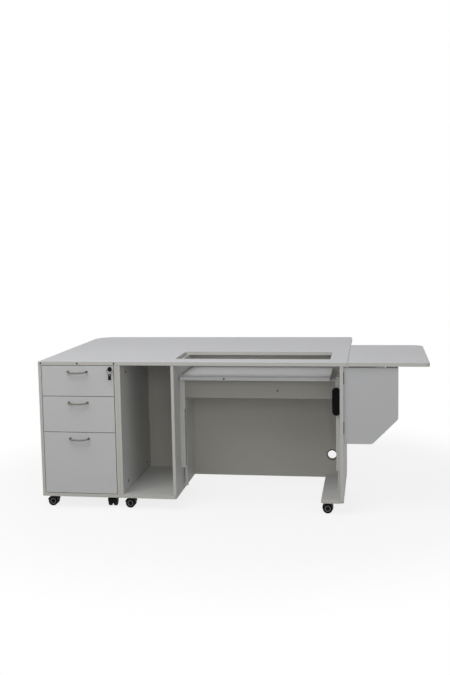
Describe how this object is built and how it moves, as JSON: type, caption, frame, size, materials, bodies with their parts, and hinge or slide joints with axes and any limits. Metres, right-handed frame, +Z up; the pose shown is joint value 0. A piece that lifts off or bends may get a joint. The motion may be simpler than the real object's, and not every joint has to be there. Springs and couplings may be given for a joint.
{
  "type": "sewing cabinet",
  "caption": "White sewing cabinet with a drawer pedestal, storage slot, knee space, drop leaves on swing brackets and a machine lift under a cut-out in its top.",
  "frame": {"origin": "on the floor, under the middle of the open cabinet's bounding box", "axes": "+X to the sitter's right, along the top; +Y away from the sitter, towards the rear leaf; +Z up from the floor"},
  "size_m": [2.003, 1.16, 0.78],
  "materials": {
    "top_laminate": "white melamine on chipboard, satin",
    "board_laminate": "white melamine on chipboard, satin",
    "front_laminate": "white melamine on chipboard, satin",
    "bracket_laminate": "white melamine on chipboard, satin",
    "drawer_box_laminate": "white melamine on chipboard, matt",
    "nickel_bar": "satin nickel",
    "grommet_bronze": "dark bronze, satin",
    "zinc_steel": "bright zinc plating",
    "lift_steel": "pale grey powder coat",
    "lock_black": "black",
    "key_black": "black moulded key heads",
    "lever_plastic": "black, fine grain",
    "hinge_steel": "black, satin",
    "castor_plate_steel": "black, satin",
    "castor_hood_plastic": "black, satin",
    "castor_wheel_plastic": "black, worn satin"
  },
  "bodies": {
    "cabinet": {"pedestal_top": "top_laminate", "main_top": "top_laminate", "side_leaf": "top_laminate", "rear_leaf": "top_laminate", "leaf_fittings": "zinc_steel", "pedestal_left_side": "board_laminate", "pedestal_right_side": "board_laminate", "pedestal_bottom": "board_laminate", "pedestal_back": "board_laminate", "slot_left_side": "board_laminate", "slot_right_side": "board_laminate", "slot_floor": "board_laminate", "slot_back": "board_laminate", "module_screws": "zinc_steel", "back_panel": "board_laminate", "cable_grommet": "grommet_bronze", "right_side": "board_laminate", "foot_board": "board_laminate", "cabinet_rails": "zinc_steel", "lift_tracks": "lift_steel", "bracket_hinges": "hinge_steel", "castor_plates": "castor_plate_steel"},
    "top_drawer": {"top_drawer_front": "front_laminate", "top_drawer_box": "drawer_box_laminate", "top_drawer_handle": "nickel_bar", "top_drawer_rails": "zinc_steel", "lock_barrel": "lock_black"},
    "key": {"key": "key_black"},
    "spare_key": {"spare_key": "key_black"},
    "middle_drawer": {"middle_drawer_front": "front_laminate", "middle_drawer_box": "drawer_box_laminate", "middle_drawer_handle": "nickel_bar", "middle_drawer_rails": "zinc_steel"},
    "bottom_drawer": {"bottom_drawer_front": "front_laminate", "bottom_drawer_box": "drawer_box_laminate", "bottom_drawer_handle": "nickel_bar", "bottom_drawer_rails": "zinc_steel"},
    "lift": {"lift_platform": "top_laminate", "lift_rail": "board_laminate", "lift_carriages": "lift_steel"},
    "release_lever": {"release_lever": "lever_plastic"},
    "side_bracket": {"side_bracket": "bracket_laminate"},
    "rear_left_bracket": {"rear_left_bracket": "bracket_laminate"},
    "rear_right_bracket": {"rear_right_bracket": "bracket_laminate"},
    "castor_fork_1": {"castor_fork_1": "castor_hood_plastic"},
    "castor_fork_2": {"castor_fork_2": "castor_hood_plastic"},
    "castor_fork_3": {"castor_fork_3": "castor_hood_plastic"},
    "castor_fork_4": {"castor_fork_4": "castor_hood_plastic"},
    "castor_fork_5": {"castor_fork_5": "castor_hood_plastic"},
    "castor_fork_6": {"castor_fork_6": "castor_hood_plastic"},
    "castor_fork_7": {"castor_fork_7": "castor_hood_plastic"},
    "castor_fork_8": {"castor_fork_8": "castor_hood_plastic"},
    "castor_wheels_1": {"castor_wheels_1": "castor_wheel_plastic"},
    "castor_wheels_2": {"castor_wheels_2": "castor_wheel_plastic"},
    "castor_wheels_3": {"castor_wheels_3": "castor_wheel_plastic"},
    "castor_wheels_4": {"castor_wheels_4": "castor_wheel_plastic"},
    "castor_wheels_5": {"castor_wheels_5": "castor_wheel_plastic"},
    "castor_wheels_6": {"castor_wheels_6": "castor_wheel_plastic"},
    "castor_wheels_7": {"castor_wheels_7": "castor_wheel_plastic"},
    "castor_wheels_8": {"castor_wheels_8": "castor_wheel_plastic"}
  },
  "joints": [
    {"name": "top_drawer_slide", "type": "slide", "parent": "cabinet", "child": "top_drawer", "axis": [0, -1, 0], "range_m": [0, 0.45]},
    {"name": "middle_drawer_slide", "type": "slide", "parent": "cabinet", "child": "middle_drawer", "axis": [0, -1, 0], "range_m": [0, 0.45]},
    {"name": "bottom_drawer_slide", "type": "slide", "parent": "cabinet", "child": "bottom_drawer", "axis": [0, -1, 0], "range_m": [0, 0.45]},
    {"name": "key_turn", "type": "hinge", "parent": "top_drawer", "child": "key", "pos_m": [-0.615, -0.552, 0.7415], "axis": [0, 1, 0], "range_deg": [0, 90]},
    {"name": "spare_key_swing", "type": "hinge", "parent": "top_drawer", "child": "spare_key", "pos_m": [-0.615, -0.5586, 0.7415], "axis": [0, 1, 0], "range_deg": [-25, 25]},
    {"name": "lift_slide", "type": "slide", "parent": "cabinet", "child": "lift", "axis": [0, 0, 1], "range_m": [-0.22, 0.068]},
    {"name": "release_lever_pivot", "type": "hinge", "parent": "lift", "child": "release_lever", "pos_m": [0.5405, -0.419, 0.612], "axis": [-1, 0, 0], "range_deg": [0, 20], "stiffness_Nm_per_rad": 0.4, "springref_deg": -5.73},
    {"name": "side_bracket_hinge", "type": "hinge", "parent": "cabinet", "child": "side_bracket", "pos_m": [0.5837, -0.522, 0.6], "axis": [0, 0, 1], "range_deg": [0, 90]},
    {"name": "rear_left_bracket_hinge", "type": "hinge", "parent": "cabinet", "child": "rear_left_bracket", "pos_m": [-0.2799, 0.0732, 0.6], "axis": [0, 0, -1], "range_deg": [0, 90]},
    {"name": "rear_right_bracket_hinge", "type": "hinge", "parent": "cabinet", "child": "rear_right_bracket", "pos_m": [0.5629, 0.0732, 0.6], "axis": [0, 0, 1], "range_deg": [0, 90]},
    {"name": "castor_1_swivel", "type": "hinge", "parent": "cabinet", "child": "castor_fork_1", "pos_m": [-0.9415, -0.497, 0.058], "axis": [0, 0, 1], "continuous": true},
    {"name": "castor_1_roll", "type": "hinge", "parent": "castor_fork_1", "child": "castor_wheels_1", "pos_m": [-0.9595, -0.497, 0.025], "axis": [0, 1, 0], "continuous": true},
    {"name": "castor_2_swivel", "type": "hinge", "parent": "cabinet", "child": "castor_fork_2", "pos_m": [-0.6375, -0.497, 0.058], "axis": [0, 0, 1], "continuous": true},
    {"name": "castor_2_roll", "type": "hinge", "parent": "castor_fork_2", "child": "castor_wheels_2", "pos_m": [-0.6375, -0.479, 0.025], "axis": [1, 0, 0], "continuous": true},
    {"name": "castor_3_swivel", "type": "hinge", "parent": "cabinet", "child": "castor_fork_3", "pos_m": [-0.5175, -0.497, 0.058], "axis": [0, 0, 1], "continuous": true},
    {"name": "castor_3_roll", "type": "hinge", "parent": "castor_fork_3", "child": "castor_wheels_3", "pos_m": [-0.5355, -0.497, 0.025], "axis": [0, 1, 0], "continuous": true},
    {"name": "castor_4_swivel", "type": "hinge", "parent": "cabinet", "child": "castor_fork_4", "pos_m": [0.5165, -0.497, 0.058], "axis": [0, 0, 1], "continuous": true},
    {"name": "castor_4_roll", "type": "hinge", "parent": "castor_fork_4", "child": "castor_wheels_4", "pos_m": [0.4985, -0.497, 0.025], "axis": [0, 1, 0], "continuous": true},
    {"name": "castor_5_swivel", "type": "hinge", "parent": "cabinet", "child": "castor_fork_5", "pos_m": [-0.9415, 0.017, 0.058], "axis": [0, 0, 1], "continuous": true},
    {"name": "castor_5_roll", "type": "hinge", "parent": "castor_fork_5", "child": "castor_wheels_5", "pos_m": [-0.9595, 0.017, 0.025], "axis": [0, 1, 0], "continuous": true},
    {"name": "castor_6_swivel", "type": "hinge", "parent": "cabinet", "child": "castor_fork_6", "pos_m": [-0.6375, 0.017, 0.058], "axis": [0, 0, 1], "continuous": true},
    {"name": "castor_6_roll", "type": "hinge", "parent": "castor_fork_6", "child": "castor_wheels_6", "pos_m": [-0.6375, 0.035, 0.025], "axis": [1, 0, 0], "continuous": true},
    {"name": "castor_7_swivel", "type": "hinge", "parent": "cabinet", "child": "castor_fork_7", "pos_m": [-0.5175, 0.017, 0.058], "axis": [0, 0, 1], "continuous": true},
    {"name": "castor_7_roll", "type": "hinge", "parent": "castor_fork_7", "child": "castor_wheels_7", "pos_m": [-0.5355, 0.017, 0.025], "axis": [0, 1, 0], "continuous": true},
    {"name": "castor_8_swivel", "type": "hinge", "parent": "cabinet", "child": "castor_fork_8", "pos_m": [0.5165, 0.017, 0.058], "axis": [0, 0, 1], "continuous": true},
    {"name": "castor_8_roll", "type": "hinge", "parent": "castor_fork_8", "child": "castor_wheels_8", "pos_m": [0.4985, 0.017, 0.025], "axis": [0, 1, 0], "continuous": true}
  ]
}
